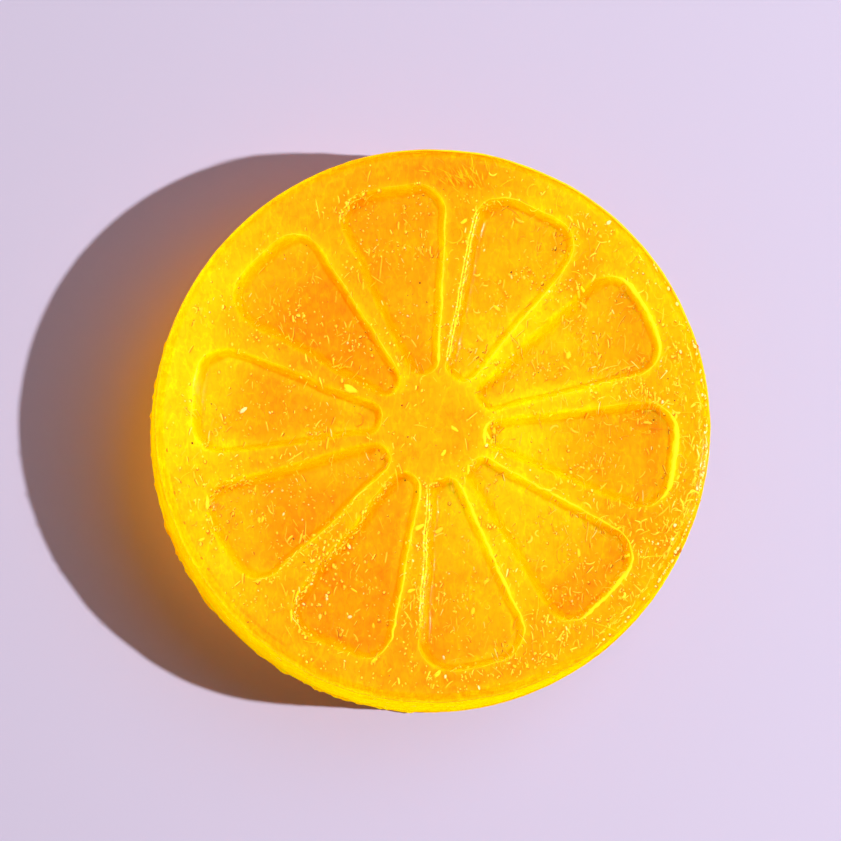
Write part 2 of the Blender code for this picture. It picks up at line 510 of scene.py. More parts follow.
BUBBLES = 2600  # how many are scattered, and their usual radius
BUBBLE_RADIUS = 0.082
BUBBLES_OUT = 0.965  # share of the top's radius within which they lie
STREAKS = 1350  # the same for streaks, with their usual length and half-width
STREAK_LENGTH = 0.70
STREAK_HALF = 0.068
STREAKS_OUT = 0.945
SWIRLS = 360  # how many fine strands, most of them curled, are scattered besides
WALL_BUBBLES = 1500  # before the crowding thins them
WALL_BUBBLE_RADIUS = 0.10
# Stretches of the segments' edges where beads and streaks are painted sparkles of light: which segment,
# from and to which share of the way round it, and how many beads are there
SPARKLES = (
    (2, 0.26, 0.60, 60), (8, 0.66, 0.97, 60), (7, 0.94, 1.10, 46), (7, 0.70, 0.93, 44),
    (3, 0.20, 0.28, 26), (6, 0.96, 1.07, 30), (6, 0.26, 0.55, 30), (9, 0.05, 0.30, 24),
)
# The stretches with a painted double line of highlight
GLINT_EDGES = ((2, 0.295, 0.60), (8, 0.695, 0.965))
# Drifts of clear round beads: where each is, its spread each way, and how many
DRIFTS = (
    ((-12.8, -16.4), (2.3, 1.9), 62),
    ((-14.6, -21.5), (1.8, 1.6), 16),
    ((-27.5, -10.5), (1.3, 2.0), 22),
)
# What lies in rows along the right of the shoulder, where the light's highlight is painted as a row of
# white and pale beads: how many, at which radius, and how spread
BEAD_ROW = (150, 33.50, 0.06)
STREAK_ROWS = ((140, 32.72, 0.10), (40, 33.55, 0.06), (80, 31.7, 0.6))
# A fan of fine strands in the upper rim
FAN_MIDDLE = (4.2, 30.9)
FAN_SPREAD = (2.2, 0.8)
FAN_STRANDS = 70
FAN_TURN = radians(-50)


def ball_mesh(sides):
    """Points and faces of a unit ball with the given number of sides."""
    rings = 3
    rise = np.linspace(-pi / 2, pi / 2, rings + 2)[1:-1]
    turn = np.linspace(0, 2 * pi, sides, endpoint=False)
    verts = [(cos(r) * cos(t), cos(r) * sin(t), sin(r)) for r in rise for t in turn]
    verts += [(0, 0, -1), (0, 0, 1)]
    low_pole, high_pole = len(verts) - 2, len(verts) - 1
    faces = []
    for k in range(sides):
        after = (k + 1) % sides
        faces.append((low_pole, after, k))
        faces.append((high_pole, (rings - 1) * sides + k, (rings - 1) * sides + after))
        for r in range(rings - 1):
            here, there = r * sides, (r + 1) * sides
            faces.append((here + k, here + after, there + after, there + k))
    return np.array(verts), faces


def build_balls(name, places, size, turn, tone, pale, sides=7, lumpy=0.0):
    """One joined mesh of squashed balls: size holds three half-widths for each."""
    ball, faces = ball_mesh(sides)
    count, per = len(places), len(ball)
    shape = ball[None] * size[:, None, :]
    shape *= 1 + lumpy * rng.uniform(-1, 1, (count, per, 1))
    c, s = np.cos(turn)[:, None], np.sin(turn)[:, None]
    x, y = shape[..., 0] * c - shape[..., 1] * s, shape[..., 0] * s + shape[..., 1] * c
    verts = (places[:, None] + np.stack([x, y, shape[..., 2]], 2)).reshape(-1, 3)
    all_faces = [tuple(v + per * i for v in face) for i in range(count) for face in faces]
    return finish_details(name, verts, all_faces, np.repeat(tone, per), np.repeat(pale, per))


def lay_paths(paths):
    """Lays plan paths, an array of paths by points by two, on the top."""
    count, steps = paths.shape[:2]
    return lay_top(paths.reshape(-1, 2))[0].reshape(count, steps, 3)


def build_threads(name, laid, width, height, sink, tone, pale, sides=6):
    """One joined mesh of tapered threads along laid paths of equal point counts."""
    count, steps = laid.shape[:2]
    ahead = np.gradient(laid[..., :2], axis=1)
    ahead /= np.linalg.norm(ahead, axis=2, keepdims=True) + 1e-9
    side = np.stack([-ahead[..., 1], ahead[..., 0]], 2)
    turn = np.linspace(0, 2 * pi, sides, endpoint=False)
    flat = (width[..., None] * np.cos(turn))[..., None] * side[:, :, None]
    rise = height[..., None] * np.sin(turn) - sink[:, None, None]
    plan = laid[:, :, None, :2] + flat
    verts = np.concatenate([plan, (laid[:, :, None, 2] + rise)[..., None]], 3).reshape(-1, 3)
    faces = []
    for i in range(count):
        base = i * steps * sides
        faces.append(tuple(base + k for k in range(sides))[::-1])
        faces.append(tuple(base + (steps - 1) * sides + k for k in range(sides)))
        for j in range(steps - 1):
            here, there = base + j * sides, base + (j + 1) * sides
            faces += [
                (here + k, here + (k + 1) % sides, there + (k + 1) % sides, there + k)
                for k in range(sides)
            ]
    tone, pale = np.broadcast_to(tone, (count, steps)), np.broadcast_to(pale, (count, steps))
    return finish_details(name, verts, faces, np.repeat(tone, sides), np.repeat(pale, sides))


def finish_details(name, verts, faces, tone, pale):
    piece = add_piece(name, verts, faces)
    set_value(piece.data, "tone", tone)
    set_value(piece.data, "pale", pale)
    return piece


def chance(*shape):
    return rng.uniform(0, 1, shape)


def scatter(count, crowding, reach_out=BUBBLES_OUT):
    """Plan points spread over the top, thicker where crowding, which is 0 to 1, says so."""
    kept = np.empty((0, 2))
    while len(kept) < count:
        points = rng.uniform(-1, 1, (4 * count, 2)) * TOP_RADIUS
        points = points[polar(points)[0] < reach_out * TOP_RADIUS]
        keep = chance(len(points)) < crowding(points)
        kept = np.concatenate([kept, points[keep]])
    return kept[:count]


def anywhere(points):
    return np.ones(len(points))


def clustered(points, clusters, spread, crowding):
    """Draws most points towards the middles of random clusters, and gives each point's cluster."""
    middles = scatter(clusters, crowding)
    which = rng.integers(0, clusters, len(points))
    away = rng.normal(0, spread, points.shape) * rng.uniform(0.4, 1.6, (len(points), 1))
    near = middles[which] + away
    mixed = np.where(chance(len(points), 1) < 0.62, near, points)
    inside = share_out(mixed) < BUBBLES_OUT
    return mixed[inside], which[inside]


def quiet(points):
    """Fewer things lie in the hub, and in the rim except at the lower right."""
    share = share_out(points)
    lower_right = np.array([cos(radians(-40)), sin(radians(-40))])
    far = 1 - smooth(-0.2, 0.8, points @ lower_right / TOP_RADIUS)
    return 1 - 0.65 * smooth(0.22, 0.14, share) - 0.5 * smooth(0.84, 0.90, share) * far


def bubble_crowding(points):
    """Bubbles gather in drifts, and along the right of the rim."""
    drift = 0.45 + 0.9 * waves(points, 5.0, 21)
    facing = np.cos(polar(points)[1] - radians(-35))
    rim = smooth(0.86, 0.93, share_out(points)) * (0.30 + 0.55 * facing)
    return np.clip((drift + rim) * quiet(points), 0.05, 1)


def streak_crowding(points):
    drift = 0.35 + 0.9 * waves(points, 6.0, 22)
    across = smooth(-0.2, 0.8, points[:, 0] / TOP_RADIUS)
    below = smooth(0.6, 0.9, -points[:, 1] / TOP_RADIUS)
    right = 0.3 * across + (0.2 * across + 0.3 * below) * smooth(0.80, 0.95, share_out(points))
    return np.clip((drift + right) * quiet(points), 0.05, 1)


def swirl_crowding(points):
    """Faint curled strands lie thickest in the outer half of the slice's right."""
    share = share_out(points)
    across = smooth(-0.1, 0.7, points[:, 0] / TOP_RADIUS)
    return 0.08 + 0.92 * across * smooth(0.35, 0.65, share) * smooth(-0.5, 0.3, waves(points, 6.0, 23))


def shoulder_points(count, middle, spread):
    """Plan points along the right of the shoulder, close to one radius."""
    angle = radians(-13) + radians(26) * np.clip(rng.normal(0, 0.8, count), -2.0, 2.0)
    return rng.normal(middle, spread, count)[:, None] * spokes_at(angle)


def sparkle_points(share=1.0):
    """Plan points close along the lit stretches of the segments' edges, and the way each edge runs."""
    points, ways = [], []
    for segment, start, end, amount in SPARKLES:
        amount = int(amount * share)
        laid, facing = edge_path(segment, rng.normal(0.10, 0.22, amount), start, end, amount)
        points.append(laid[:, :2] + rng.normal(0, 0.12, (amount, 2)))
        ways.append(polar(facing)[1] + pi / 2)
    return np.concatenate(points), np.concatenate(ways)


def build_bubbles():
    """Air bubbles: a pale bead, and a darker ring of painted shade round it where it bends the light
    away. Some beads are white glints of painted highlight, most of all in the row on the shoulder.
    """
    kinds = [clustered(scatter(BUBBLES, bubble_crowding), 240, 1.0, bubble_crowding)[0]]
    kinds += [shoulder_points(*BEAD_ROW), sparkle_points()[0]]
    kinds += [place + rng.normal(0, 1, (amount, 2)) * spread for place, spread, amount in DRIFTS]
    points = np.concatenate(kinds)
    kind = np.repeat(np.arange(len(kinds)), [len(places) for places in kinds])
    in_row, sparkling, drifting = kind == 1, kind >= 2, kind >= 3
    count = len(points)
    radius = np.clip(BUBBLE_RADIUS * np.exp(rng.normal(0, 0.30, count)), 0.045, 0.18)
    turn = radians(90) + rng.normal(0, 0.5, count)
    laid = lay_top(points)[0]
    clear = chance(count) ** 2
    clear[sparkling] **= 0.4
    radius[sparkling] *= 1.15
    # Painted highlights: a few beads, and many in the row on the shoulder, are white glints
    glint = chance(count) > 0.965
    tone = 0.86 + 0.12 * clear
    glint[in_row] |= chance(in_row.sum()) < 0.4
    tone = np.maximum(tone, glint)
    pale = 0.02 + 0.08 * clear + 0.35 * glint
    radius[in_row] *= 1 + 0.35 * glint[in_row]
    radius[drifting] *= 1.25
    size = np.column_stack([radius * rng.uniform(1.0, 1.8, count), radius, radius * 0.4])
    beads = build_balls("bubbles", laid - (0, 0, 0.01), size, turn, tone, pale)
    # Painted shade: a darker ring under most bubbles, set a little to the lower right
    ringed = (chance(count) < 0.75) & (clear > 0.05)
    away = rng.normal(0, 0.30, (count, 2)) + (0.40, -0.30)
    shift = np.column_stack([away * radius[:, None], np.full(count, -0.045)])
    ring_size = np.column_stack([radius * 1.75, radius * 1.6, radius * 0.30])
    ring_tone = rng.uniform(0.50, 0.66, count)
    rings = build_balls(
        "bubble_shades", (laid + shift)[ringed], ring_size[ringed], turn[ringed], ring_tone[ringed],
        np.zeros(ringed.sum()), sides=8, lumpy=0.1,
    )
    return [beads, rings]


def build_wall_bubbles():
    """Bubbles and drawn-out ones against the side wall, half sunk in it."""
    angle = rng.uniform(0, 2 * pi, WALL_BUBBLES)
    share = rng.uniform(0.02, 0.99, WALL_BUBBLES)
    spokes = spokes_at(angle)
    crowd = 0.5 + 0.9 * waves(spokes * RADIUS + 1.3 * share[:, None] * THICKNESS, 6.0, 51)
    kept = chance(WALL_BUBBLES) < crowd
    angle, share, spokes = angle[kept], share[kept], spokes[kept]
    count = len(angle)
    radius = np.clip(WALL_BUBBLE_RADIUS * np.exp(rng.normal(0, 0.35, count)), 0.05, 0.22)
    long = chance(count) < 0.35
    dark = chance(count) < 0.30
    out = wall_radius(spokes, share) - 0.02
    height = WALL_TOP + share * (WALL_FOOT - WALL_TOP)
    size = np.column_stack([radius * 0.4, radius * (1 + 1.5 * long), radius])
    tone = np.where(dark, 0.62, 0.86 + 0.12 * chance(count))
    pale = np.where(dark, 0.0, 0.01 + 0.10 * chance(count) ** 2)
    places = np.column_stack([spokes * out[:, None], height])
    return build_balls("wall_bubbles", places, size, angle, tone, pale)


def thread_paths(starts, length, heading, bend, steps):
    """Plan paths that leave each start along its heading and turn steadily by the bend."""
    share = np.linspace(0, 1, steps)
    angle = heading[:, None] + bend[:, None] * share[None]
    step = length[:, None] / (steps - 1)
    run = np.cumsum(spokes_at(angle) * step[..., None], axis=1)
    return starts[:, None] + run - run[:, steps // 2][:, None]


def build_streaks():
    """Drawn-out bubbles and strands: bright threads with a darker side of painted shade, mostly up and
    down. A few are white glints of painted highlight.
    """
    starts, which = clustered(scatter(STREAKS, streak_crowding), 150, 1.4, streak_crowding)
    inside = share_out(starts) < STREAKS_OUT
    starts = starts[inside]
    heading = radians(86) + rng.normal(0, 0.40, 150)[which[inside]] + rng.normal(0, 0.22, len(starts))
    extra = [sparkle_points(0.7)]
    for row in STREAK_ROWS:
        beside = shoulder_points(*row)
        extra.append((beside, polar(beside)[1] + pi / 2))
    for beside, way in extra:
        starts = np.concatenate([starts, beside])
        heading = np.concatenate([heading, way + rng.normal(0, 0.16, len(way))])
    swirls = scatter(SWIRLS, swirl_crowding, STREAKS_OUT)
    fan = FAN_MIDDLE + rng.normal(0, 1, (FAN_STRANDS, 2)) * FAN_SPREAD
    kind = np.repeat([0, 1, 2], [len(starts), len(swirls), len(fan)])
    is_fine, is_fan = kind > 0, kind == 2
    starts = np.concatenate([starts, swirls, fan])
    fanned = FAN_TURN - 0.12 * (fan[:, 0] - FAN_MIDDLE[0]) + rng.normal(0, 0.15, len(fan))
    heading = np.concatenate([heading, rng.uniform(0, 2 * pi, len(swirls)), fanned])
    count, steps = len(starts), 8
    length = np.clip(STREAK_LENGTH * np.exp(rng.normal(0, 0.5, count)), 0.3, 3.0) * (1 + 0.9 * is_fine)
    length[is_fan] = np.clip(length[is_fan], 0.5, 1.5)
    curled = ((chance(count) < 0.12) | is_fine) & ~is_fan
    bend = rng.normal(0, 0.35, count) + curled * rng.normal(0, 2.4, count)
    share = np.linspace(0, 1, steps)
    blunt = np.sqrt(np.clip(1 - (2 * share - 1) ** 4, 0.02, 1))
    is_comet = chance(count, 1) < 0.5
    taper = blunt * np.where(is_comet, 0.45 + 0.75 * share, 1.0)
    is_bold = (kind == 1) & (chance(count) < 0.25)
    bend[is_bold] *= 0.6
    length[is_bold] = np.clip(length[is_bold], 0.4, 1.3)
    half = np.clip(STREAK_HALF * np.exp(rng.normal(0, 0.3, count)), 0.04, 0.13)
    half *= 1 - 0.2 * is_fine + 0.65 * is_bold
    paths = thread_paths(starts, length, heading, bend, steps)
    width = half[:, None] * taper
    clear = chance(count) ** 2.2
    clear = np.where(is_bold, 0.45 + 0.55 * clear, clear)
    faint = np.where(chance(count) < 0.5, 0.64, 0.80) + 0.06 * clear
    is_faint = is_fine & ~is_bold
    tone = np.where(is_faint, faint, 0.82 + 0.16 * clear)[:, None]
    # Painted highlights: a few streaks are white glints
    glint = (chance(count) > 0.95) & ~is_fine
    tone = np.maximum(tone, glint[:, None])
    pale = np.where(is_faint, 0.0, 0.01 + 0.06 * clear + 0.25 * glint)[:, None]
    laid = lay_paths(paths)
    threads = build_threads("streaks", laid, width, width * 0.4, np.zeros(count), tone, pale, sides=5)
    # Painted shade: a darker thread beside many of the scattered streaks, mostly on one side
    scattered = np.arange(count) < inside.sum()
    dark = (chance(count) < (0.25 + 0.5 * clear) * scattered) & ~curled
    side = np.where(chance(count) < 0.75, 1.0, -1.0)
    offset = (half * 1.5 * side)[:, None, None] * np.array([1.0, -0.25])
    shades = build_threads(
        "streak_shades", lay_paths(paths + offset)[dark], width[dark] * 0.95, width[dark] * 0.25,
        np.full(dark.sum(), 0.04), rng.uniform(0.48, 0.63, (dark.sum(), 1)), np.zeros((1, 1)),
    )
    return [threads, shades]


def edge_path(segment, reach, start=0.0, end=1.0, points=260):
    """A path along a segment's edge, at a reach inside it, between two shares of the way round."""
    outline, normals = segment_outline(0.2)
    place = np.linspace(start, end, points) % 1 * len(outline)
    order = np.arange(len(outline))
    along, facing = (
        np.stack([np.interp(place, order, value[:, i], period=len(outline)) for i in (0, 1)], 1)
        for value in (outline, normals)
    )
    turn = SEGMENT_TURN + segment * PITCH
    reach = np.zeros(points) + reach
    inner, outer = turned(along - reach[:, None] * facing, turn), turned(along + 0.15 * facing, turn)
    laid = lay_top(inner)[0]
    laid[:, 2] = lay_top(outer)[0][:, 2]
    return laid, turned(facing, turn)


def build_glow_lips():
    """The thin lip round each segment and the top's edge, painted bright with the light that comes out
    there, widest where most comes out.
    """
    paths, widths, tones = [], [], []
    for i in range(SEGMENTS):
        laid, facing = edge_path(i, -0.08)
        plan = laid[:, :2]
        light = np.clip(edge_light(plan, facing) + 0.25 * waves(plan, 4.5, 32), 0, 1.35)
        ragged = 1 + 0.40 * waves(plan, 2.2, 31) + 0.55 * waves(plan, 0.7, 33)
        laid[:, :2] += facing * (0.10 * waves(plan, 1.1, 34))[:, None]
        paths.append(laid)
        widths.append(np.maximum(0.21 * light ** 1.5 * ragged - 0.01, 0.004))
        tones.append(0.78 + 0.15 * np.clip(light * 1.2, 0, 1))
    # Painted highlight along the top's edge, widest towards the upper right
    turn = np.linspace(0, 2 * pi, len(paths[0]))
    spokes = spokes_at(turn)
    rim = spokes * (TOP_RADIUS - 0.14 - outline_waver(spokes))[:, None]
    paths.append(np.column_stack([rim, np.full(len(turn), EDGE_LEVEL + 0.31)]))
    lit = smooth(0.45, 0.85, np.cos(turn - radians(50))) * (1 + 0.5 * waves(rim, 3.0, 36))
    widths.append(np.maximum(0.13 * lit, 0.004))
    tones.append(np.full(len(turn), 0.88))
    width = np.array(widths)
    return build_threads(
        "glow_lips", np.array(paths), width, width * 0.35, np.full(len(paths), 0.02), np.array(tones),
        np.full((1, 1), 0.01), sides=7,
    )


def build_glints():
    """The two double lines of painted highlight, along the left edges of two segments."""
    points = 150
    paths, widths = [], []
    for segment, start, end in GLINT_EDGES:
        for reach in (-0.12, 0.22):
            laid, facing = edge_path(segment, reach, start, end, points)
            laid[:, :2] += facing * (0.07 * waves(laid[:, :2], 0.5, 35 + len(paths)))[:, None]
            paths.append(laid)
            broken = smooth(-0.5, -0.1, waves(laid[:, :2], 1.1, 45 + len(paths)))
            widths.append(0.01 + 0.062 * broken * (1 + 0.6 * waves(laid[:, :2], 0.4, 55 + len(paths))))
    width = np.maximum(np.array(widths), 0.01)
    pale = 0.04 + 0.50 * (chance(*width.shape) > 0.90)
    sink, tone = np.zeros(len(paths)), np.ones((1, 1))
    return build_threads("glints", np.array(paths), width, width * 0.5, sink, tone, pale)


# Notable marks, each with its place on the top, half-length, half-width and turn in degrees
# The flakes along the right of the rim and down one segment's left edge are painted highlights: white
# glints of the light
FLAKES_AND_GLINTS = (
    ((-23.2, 2.5), 0.62, 0.24, 38),
    ((21.6, 24.9), 0.34, 0.24, 30),
    ((5.0, 23.5), 0.26, 0.20, 75),
    ((4.3, 20.1), 0.22, 0.17, 75),
    ((3.5, 16.4), 0.20, 0.16, 75),
    ((1.7, 8.3), 0.20, 0.12, 85),
    ((32.9, 5.5), 0.20, 0.15, 80),
    ((33.0, 3.7), 0.22, 0.13, 85),
    ((33.3, -0.9), 0.20, 0.15, 90),
    ((32.3, -7.8), 0.22, 0.16, 75),
    ((29.6, -12.3), 0.24, 0.17, 60),
    ((29.3, -14.0), 0.22, 0.14, 60),
    ((1.5, -28.1), 0.30, 0.14, 105),
    ((1.6, -30.6), 0.26, 0.17, 90),
    ((5.6, -32.1), 0.30, 0.12, 110),
    ((-13.0, -20.9), 0.20, 0.16, 90),
    ((-15.1, -19.2), 0.24, 0.20, 0),
    ((-10.3, -23.2), 0.26, 0.22, 0),
    ((28.4, 3.0), 0.22, 0.16, 80),
    ((-18.2, -10.6), 0.22, 0.12, 70),
)
SMEARS = (
    ((-10.1, 4.7), 0.85, 0.42, 160),
    ((-27.8, -9.2), 0.80, 0.24, 86),
    ((-1.6, -12.4), 0.65, 0.34, 35),
    ((6.6, -1.1), 0.75, 0.22, 120),
    ((4.3, -5.2), 0.60, 0.20, 88),
    ((16.8, 8.9), 0.60, 0.34, 80),
    ((7.4, -0.3), 0.55, 0.28, 110),
    ((7.2, -2.0), 0.50, 0.20, 60),
    ((-16.9, -20.6), 0.90, 0.15, 68),
    ((-17.5, -22.9), 0.90, 0.12, 92),
    ((-9.8, -19.9), 0.55, 0.13, 145),
    ((-26.7, -12.5), 0.36, 0.15, 30),
    ((-28.3, -13.9), 0.36, 0.14, 20),
    ((-21.9, -7.3), 0.50, 0.10, 85),
    ((-27.8, -1.1), 0.60, 0.12, 82),
    ((-29.2, -9.1), 0.50, 0.09, 85),
)
SPECKS = (
    (-1.5, 17.9), (-3.8, 2.5), (-3.0, -1.3), (-3.3, -6.5), (-2.0, -8.0), (-17.2, -13.6), (-29.7, -1.9),
    (-22.5, -24.2), (15.5, 22.0), (9.9, 19.3), (27.3, 1.0),
)
RIM_SPOTS = (185.7, 195.0, 201.8, 210.2, 213.0)  # turns, in degrees, of the soft brown spots
RIM_SPOTS_RADIUS = 32.6


def build_marks():
    """White flakes, some of them painted highlights (white glints), yellow smears, and dark specks of
    pigment.
    """
    def rows(marks, more, half_range, slim):
        """Places and sizes of the notable marks, followed by smaller random ones."""
        points = scatter(more, anywhere, 0.93)
        places = np.concatenate([[mark[0] for mark in marks], points])
        half = np.concatenate([[mark[1] for mark in marks], rng.uniform(*half_range, more)])
        narrow = np.concatenate([[mark[2] for mark in marks], half[len(marks):] * slim])
        known_turn = np.radians([mark[3] for mark in marks])
        turn = np.concatenate([known_turn, radians(85) + rng.normal(0, 0.6, more)])
        return lay_top(places)[0], np.column_stack([half, narrow, narrow * 0.35]), turn

    laid, size, turn = rows(FLAKES_AND_GLINTS, 20, (0.09, 0.17), 0.65)
    tone = np.ones(len(laid))
    pale = np.where(np.arange(len(laid)) < len(FLAKES_AND_GLINTS), 0.55, 0.15)
    flakes_and_glints = build_balls("flakes_and_glints", laid, size, turn, tone, pale, lumpy=0.22)
    laid, size, turn = rows(SMEARS, 32, (0.25, 0.60), 0.42)
    size[:, 2] *= 0.4
    tone, pale = np.full(len(laid), 0.93), np.full(len(laid), 0.02)
    smears = build_balls("smears", laid, size, turn, tone, pale, 11, 0.30)

    more = scatter(38, anywhere)
    rim_turn = np.radians(RIM_SPOTS)
    spots = RIM_SPOTS_RADIUS * spokes_at(rim_turn)
    points = np.concatenate([SPECKS, more, spots])
    is_spot = np.arange(len(points)) >= len(points) - len(spots)
    radius = [rng.uniform(0.13, 0.17, len(SPECKS)), rng.uniform(0.05, 0.12, len(more))]
    radius = np.concatenate(radius + [np.full(len(spots), 0.13)])
    size = np.column_stack([radius, radius * 0.85, radius * 0.4])
    size[is_spot, 1] = 0.26
    turn = radius * 50  # any turn will do for a speck
    turn[is_spot] = rim_turn
    tone = rng.uniform(0.25, 0.45, len(points))
    tone[is_spot] = 0.56
    laid = lay_top(points)[0]
    specks = build_balls("specks", laid, size, turn, tone, 0 * tone, lumpy=0.15)
    return [flakes_and_glints, smears, specks]


# ---- Materials

def new_material(name, values):
    """A material, its node tree and its shader, whose sockets are set to the values."""
    material = bpy.data.materials.new(name)
    material.use_nodes = True
    shader = material.node_tree.nodes["Principled BSDF"]
    for socket, value in values.items():
        shader.inputs[socket].default_value = value
    return material, material.node_tree, shader


def math_node(tree, operation, *values):
    """A Math node fed with sockets or numbers; gives its output."""
    node = tree.nodes.new("ShaderNodeMath")
    node.operation = operation
    for socket, value in zip(node.inputs, values):
        if isinstance(value, (int, float)):
            socket.default_value = value
        else:
            tree.links.new(value, socket)
    return node.outputs[0]


def times(tree, first, second):
    return math_node(tree, "MULTIPLY", first, second)


def attribute(tree, name):
    node = tree.nodes.new("ShaderNodeAttribute")
    node.attribute_name = name
    return node.outputs["Fac"]


def grain(tree, size, stretch=(1, 1, 1), detail=3.0, turn=0.0, shift=0.0):
    """Noise of about -1 to 1 in the object's own space, with features about size mm across."""
    coords = tree.nodes.new("ShaderNodeTexCoord")
    place = tree.nodes.new("ShaderNodeMapping")
    place.inputs["Scale"].default_value = [1 / (size * MM * s) for s in stretch]
    place.inputs["Rotation"].default_value = (0, 0, turn)
    place.inputs["Location"].default_value = (shift, shift * 0.7, 0)
    tree.links.new(coords.outputs["Object"], place.inputs["Vector"])
    node = tree.nodes.new("ShaderNodeTexNoise")
    node.inputs["Scale"].default_value = 1.0
    node.inputs["Detail"].default_value = detail
    tree.links.new(place.outputs["Vector"], node.inputs["Vector"])
    return math_node(tree, "MULTIPLY_ADD", node.outputs["Fac"], 4.0, -2.0)


def radius_node(tree):
    """Distance from the slice's axis, in mm."""
    coords = tree.nodes.new("ShaderNodeTexCoord")
    axes = tree.nodes.new("ShaderNodeSeparateXYZ")
    tree.links.new(coords.outputs["Object"], axes.inputs[0])
    across = times(tree, axes.outputs[0], axes.outputs[0])
    square = math_node(tree, "MULTIPLY_ADD", axes.outputs[1], axes.outputs[1], across)
    return math_node(tree, "DIVIDE", math_node(tree, "SQRT", square), MM)


def bell(tree, value, middle, width):
    """1 at the middle, falling off smoothly over the width."""
    away = math_node(tree, "DIVIDE", math_node(tree, "SUBTRACT", value, middle), width)
    return math_node(tree, "EXPONENT", times(tree, times(tree, away, away), -1.0))


def skin_material():
    material, tree, shader = new_material("jelly_skin", {
        "Base Color": (1.0, 0.93, 0.35, 1), "Roughness": 0.07, "IOR": 1.36, "Transmission Weight": 1.0,
    })
    bump = tree.nodes.new("ShaderNodeBump")
    bump.inputs["Distance"].default_value = 0.00002
    bump.inputs["Strength"].default_value = 0.6
    relief = math_node(tree, "ADD", grain(tree, 1.6), grain(tree, 0.35, (1, 1.6, 1), 2.0))
    tree.links.new(relief, bump.inputs["Height"])
    tree.links.new(bump.outputs["Normal"], shader.inputs["Normal"])
    depth = tree.nodes.new("ShaderNodeVolumeAbsorption")
    depth.inputs["Color"].default_value = (1.0, 0.86, 0.02, 1)
    depth.inputs["Density"].default_value = 300.0
    tree.links.new(depth.outputs["Volume"], tree.nodes["Material Output"].inputs["Volume"])
    return material


def core_material(name, roughness):
    """Yellow-orange jelly: mottled, with a painted bright line of light down each wall and round the
    edge.
    """
    material, tree, shader = new_material(name, {
        "Roughness": roughness, "Specular IOR Level": 0.0, "Subsurface Weight": 1.0,
        "Subsurface Radius": SCATTER_SHARES, "Subsurface Scale": SCATTER_DEPTH,
    })
    painted_glow, radius = attribute(tree, "painted_glow"), radius_node(tree)
    uneven_edge = grain(tree, 2.5, detail=2.0)
    reach = math_node(tree, "MULTIPLY_ADD", uneven_edge, 0.05, attribute(tree, "reach"))
    patchy = math_node(tree, "MULTIPLY_ADD", grain(tree, 2.0), 0.30, 0.85)
    # Painted light: the bright line down each wall, the soft band outside it, and the bright line round
    # the top's edge
    line = times(tree, times(tree, bell(tree, reach, LINE_PLACE, LINE_WIDTH), painted_glow), patchy)
    band = times(tree, bell(tree, reach, -0.35, 0.45), painted_glow)
    edge = times(tree, times(tree, bell(tree, radius, TOP_RADIUS - 0.25, 0.30), painted_glow), patchy)
    on_wall = math_node(tree, "GREATER_THAN", radius, TOP_RADIUS + 0.05)
    layers = times(tree, grain(tree, 0.8, (6, 6, 1)), on_wall)
    patches = math_node(tree, "MULTIPLY_ADD", grain(tree, 7.0, detail=2.0), 0.8, 0.45)
    fibre = times(tree, grain(tree, 0.32, (1, 3.5, 1)), math_node(tree, "MAXIMUM", patches, 0.0))
    wisps = bell(tree, grain(tree, 1.5, (1, 2.4, 1), shift=3.0), 0.0, 0.07)
    dark_wisps = bell(tree, grain(tree, 1.1, (1, 2.0, 1), turn=0.5, shift=6.0), 0.0, 0.08)
    tone = attribute(tree, "tone")
    for value, weight in (
        (line, LINE_GAIN), (band, BAND_GAIN), (edge, EDGE_GAIN), (grain(tree, 3.4), 0.030),
        (grain(tree, 1.0, shift=9.0), 0.032), (fibre, 0.046), (wisps, 0.062),
        (dark_wisps, -0.042), (layers, 0.035),
    ):
        tone = math_node(tree, "MULTIPLY_ADD", value, weight, tone)
    tone = math_node(tree, "MINIMUM", math_node(tree, "MAXIMUM", tone, 0.35), 0.985)
    colour = tree.nodes.new("ShaderNodeCombineColor")
    colour.inputs["Red"].default_value = 1.0
    colour.inputs["Blue"].default_value = 0.0
    tree.links.new(math_node(tree, "POWER", tone, 2.2), colour.inputs["Green"])
    tree.links.new(colour.outputs[0], shader.inputs["Base Color"])
    return material


def detail_material():
    """For what is in the jelly and the painted highlights and shades: green and, where it is dark, red
    from the tone, blue from how pale.
    """
    look = {"Roughness": 0.30, "Specular IOR Level": 0.2}
    material, tree, shader = new_material("jelly_details", look)
    colour = tree.nodes.new("ShaderNodeCombineColor")
    tone = attribute(tree, "tone")
    red = math_node(tree, "MINIMUM", times(tree, tone, 1.6), 1.0)
    tree.links.new(math_node(tree, "POWER", red, 2.2), colour.inputs["Red"])
    tree.links.new(math_node(tree, "POWER", tone, 2.2), colour.inputs["Green"])
    tree.links.new(attribute(tree, "pale"), colour.inputs["Blue"])
    tree.links.new(colour.outputs[0], shader.inputs["Base Color"])
    return material


# ---- Studio

def build_floor():
    bpy.ops.mesh.primitive_plane_add(size=4, location=(0, 0, -0.0002))
    floor = bpy.context.object
    floor.name = "floor"
    look = {"Base Color": (0.74, 0.68, 0.90, 1), "Roughness": 0.8, "Specular IOR Level": 0.2}
    floor.data.materials.append(new_material("floor", look)[0])
    floor.visible_glossy = False
    return floor


def aim(thing, place, target, up):
    """Puts a camera or light at a place, looking at the target, with its top towards up."""
    ahead = (target - place).normalized()
    right = ahead.cross(up).normalized()
    turn = Matrix((right, right.cross(ahead), -ahead)).transposed().to_4x4()
    thing.matrix_world = Matrix.Translation(place) @ turn


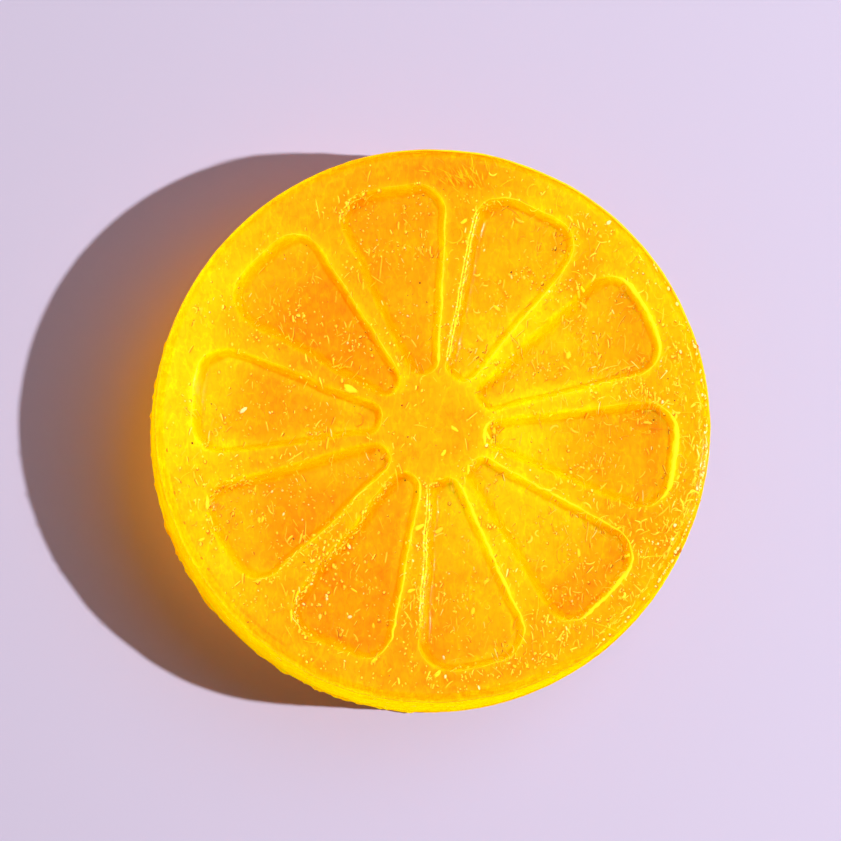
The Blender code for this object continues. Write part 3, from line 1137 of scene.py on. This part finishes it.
CAMERA_LENS = 210.7
CAMERA_LEAN = radians(5.0)  # how far the view is off the vertical, and to which side
CAMERA_SIDE = radians(-110.4)
CAMERA_TARGET = Vector((-1.52, 0.45, THICKNESS)) * MM
CAMERA_AWAY = 0.601  # metres from the target


def build_camera():
    camera = bpy.data.cameras.new("camera")
    camera.sensor_width = 36
    camera.lens = CAMERA_LENS
    camera.clip_start = 0.01
    thing = bpy.data.objects.new("camera", camera)
    bpy.context.scene.collection.objects.link(thing)
    across = sin(CAMERA_LEAN)
    away = Vector((across * cos(CAMERA_SIDE), across * sin(CAMERA_SIDE), cos(CAMERA_LEAN)))
    aim(thing, CAMERA_TARGET + away * CAMERA_AWAY, CAMERA_TARGET, Vector((0, 1, 0)))
    bpy.context.scene.camera = thing


def disc_light(name, pieces, power, size, colour):
    """A light kept to some pieces, so that the jelly's inner glow can be set apart from the floor."""
    light = bpy.data.lights.new(name, "AREA")
    light.shape = "DISK"
    light.size = size
    light.energy = power
    light.color = colour
    thing = bpy.data.objects.new(name, light)
    bpy.context.scene.collection.objects.link(thing)
    lit = bpy.data.collections.new(name + "_reaches")
    for piece in pieces:
        lit.objects.link(piece)
    thing.light_linking.receiver_collection = lit
    return thing


def build_light(name, pieces, power, size, turn, rise, distance, colour=(1, 1, 1)):
    thing = disc_light(name, pieces, power, size, colour)
    place = distance * Vector((cos(rise) * cos(turn), cos(rise) * sin(turn), sin(rise)))
    aim(thing, place, Vector((0, 0, 0)), Vector((0, 0, 1)))
    return thing


def passes_through(light):
    """Lets a light reach what it lights as if nothing stood in its way, as in clear jelly."""
    light.light_linking.blocker_collection = bpy.data.collections.new(light.name + "_blocked_by")


def build_studio(jelly):
    floor = build_floor()
    build_camera()
    build_light("key_floor", [floor], KEY_ON_FLOOR, 0.03, LIGHT_TURN, LIGHT_RISE, 1.2)
    build_light(
        "sky_floor", [floor], SKY_ON_FLOOR, 0.8, radians(35), radians(52), 1.0, (0.86, 0.95, 1.3),
    )
    passes_through(build_light("key", jelly, KEY, 0.03, LIGHT_TURN, LIGHT_RISE, 1.2))
    around_jelly = [build_light("soft", jelly, SOFT, 0.8, radians(60), radians(80), 0.8)]
    for i in range(4):
        turn = radians(45 + 90 * i)
        around_jelly.append(
            build_light(f"fill_{i + 1}", jelly, FILL, 0.4, turn, radians(12), 0.5, (1, 0.72, 0.3))
        )
    for light in around_jelly:
        passes_through(light)
        light.visible_glossy = False
    # The orange light that the jelly passes on to the floor in its own shadow
    glow = disc_light("glow", [floor], 0.0053, 0.052, (1.0, 0.38, 0.0))
    glow.location = (-0.012, 0.001, 0.008)
    passes_through(glow)
    world = bpy.data.worlds.new("studio")
    world.use_nodes = True
    back = world.node_tree.nodes["Background"]
    back.inputs["Color"].default_value = (1.0, 0.60, 0.30, 1)
    back.inputs["Strength"].default_value = 0.16
    bpy.context.scene.world = world
    bpy.context.scene.view_settings.view_transform = "Standard"


# ---- The slice

skin = build_skin()
skin.data.materials.append(skin_material())
skin.visible_shadow = False
core = build_core()
core.visible_diffuse = False
core.data.materials.append(core_material("jelly_core", 0.5))
core.data.materials.append(core_material("jelly_wall", 0.4))
detail = detail_material()
details = build_bubbles() + build_streaks() + [build_glow_lips(), build_glints()] + build_marks()
details.append(build_wall_bubbles())
for piece in details:
    piece.data.materials.append(detail)
for piece in [skin, core] + details:
    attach(piece, "root")
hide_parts("slice")
build_studio([skin, core] + details)
